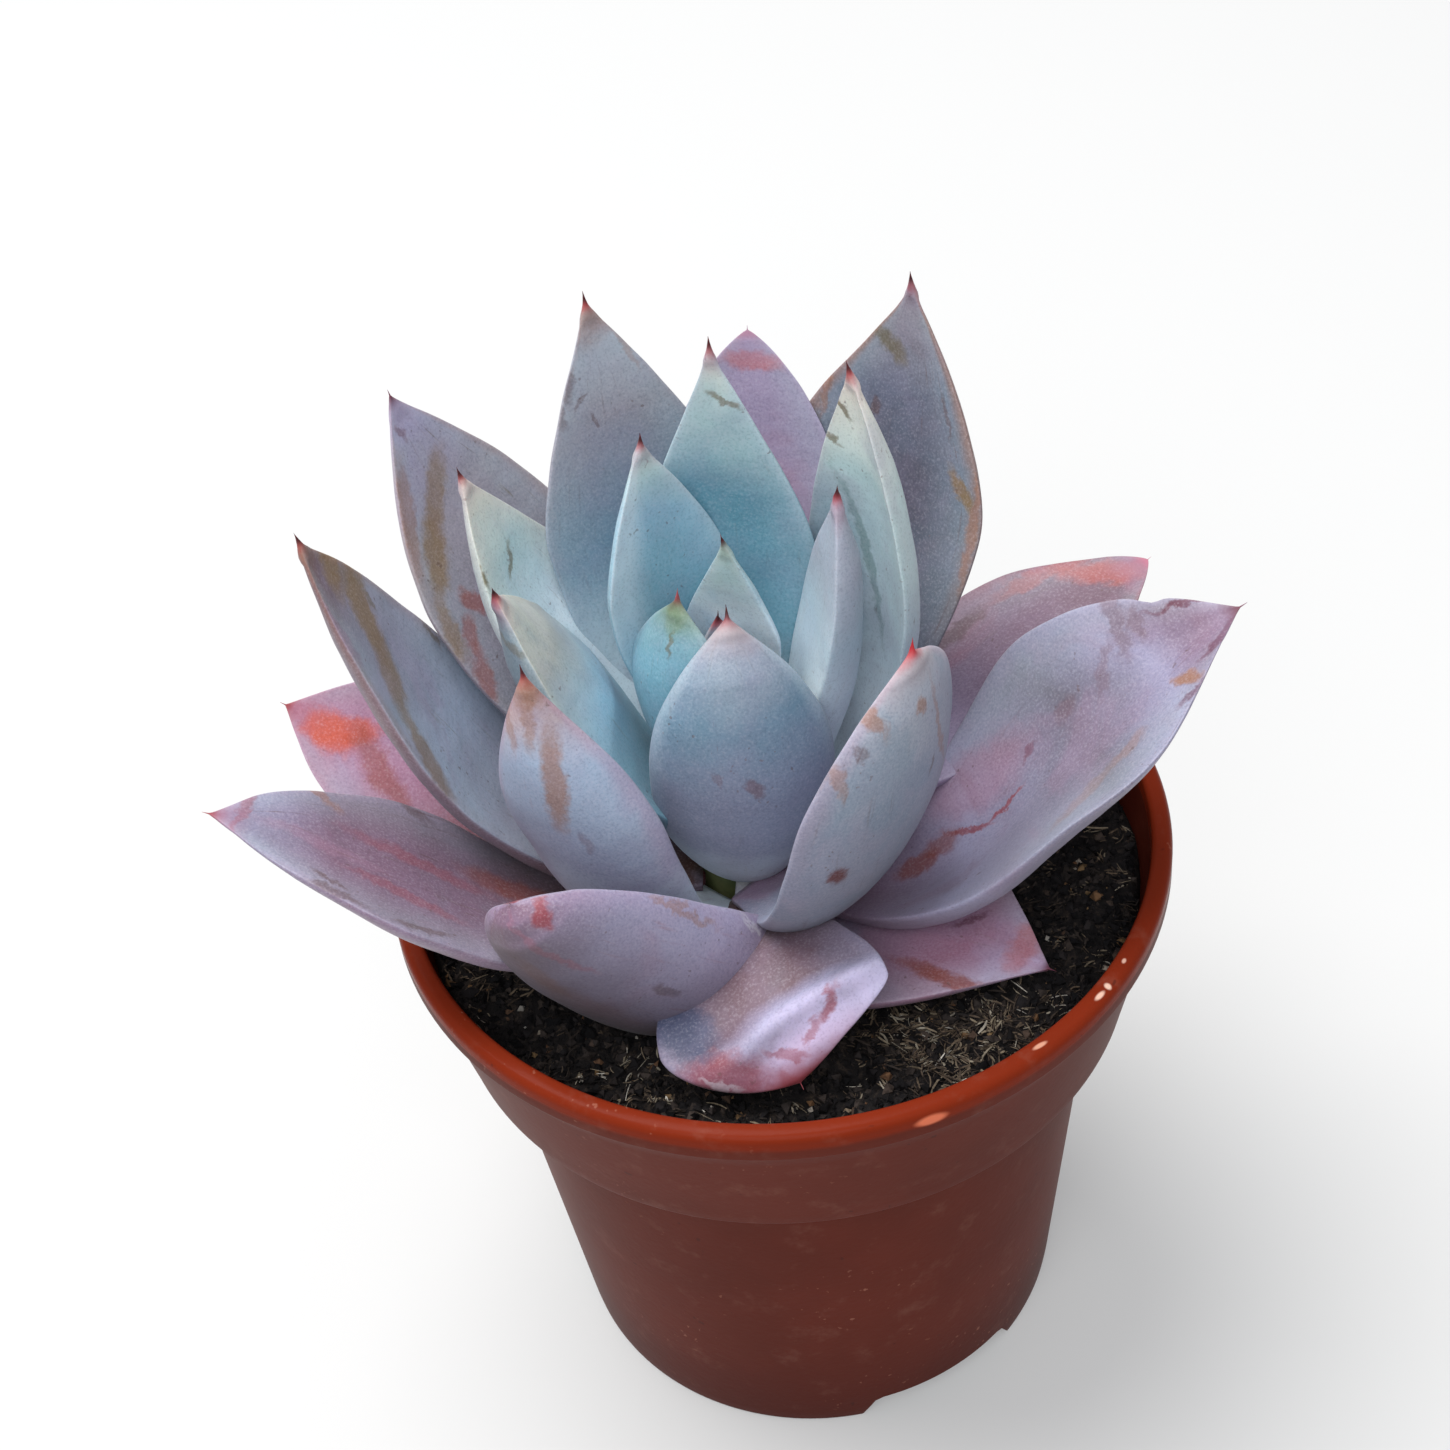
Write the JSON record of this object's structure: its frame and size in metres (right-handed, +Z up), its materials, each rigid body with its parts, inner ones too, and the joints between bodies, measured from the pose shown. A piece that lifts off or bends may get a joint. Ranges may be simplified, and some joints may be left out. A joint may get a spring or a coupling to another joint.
{
  "type": "potted succulent",
  "caption": "Giant echeveria with a rosette of thick, pointed, upcurved leaves on a short stem, in a round tapered nursery pot filled with potting mix.",
  "frame": {"origin": "middle of the pot's flat underside", "axes": "+Z up along the pot's axis, -Y towards the side the picture shows, +X to its right"},
  "size_m": [0.1488, 0.1234, 0.179],
  "materials": {
    "pot_plastic": "satin moulded",
    "potting_mix": "loose fibrous peat",
    "stem": "smooth green bark",
    "leaf_blue_green": "waxy powdered leaf",
    "leaf_lavender_blue": "waxy powdered leaf",
    "leaf_pink_grey": "waxy powdered leaf",
    "leaf_scar": "moist translucent leaf"
  },
  "bodies": {
    "root": {"pot": "pot_plastic", "soil": "potting_mix", "stem": "stem", "leaf_heart_bud": "leaf_blue_green", "leaf_heart_back": "leaf_blue_green", "leaf_heart_left": "leaf_blue_green", "leaf_front_centre": "leaf_lavender_blue", "leaf_centre_left": "leaf_blue_green", "leaf_right_centre": "leaf_blue_green", "leaf_back_centre": "leaf_blue_green", "leaf_left_inner": "leaf_blue_green", "leaf_right_channelled": "leaf_blue_green", "leaf_left_pale": "leaf_blue_green", "leaf_back_left": "leaf_lavender_blue", "leaf_front_right": "leaf_lavender_blue", "leaf_front_left": "leaf_lavender_blue", "leaf_back_right": "leaf_lavender_blue", "leaf_left_streaked": "leaf_pink_grey", "leaf_left_long": "leaf_pink_grey", "leaf_back_pink": "leaf_pink_grey", "leaf_right_back_pink": "leaf_pink_grey", "leaf_right_large": "leaf_pink_grey", "leaf_left_low_pink": "leaf_pink_grey", "leaf_low_left": "leaf_pink_grey", "leaf_stub": "leaf_scar", "leaf_low_front_left": "leaf_pink_grey", "leaf_front_low": "leaf_pink_grey", "leaf_low_front_right": "leaf_pink_grey", "leaf_back_low_left": "leaf_pink_grey", "leaf_back_low": "leaf_pink_grey", "leaf_back_low_right": "leaf_pink_grey"}
  },
  "joints": []
}
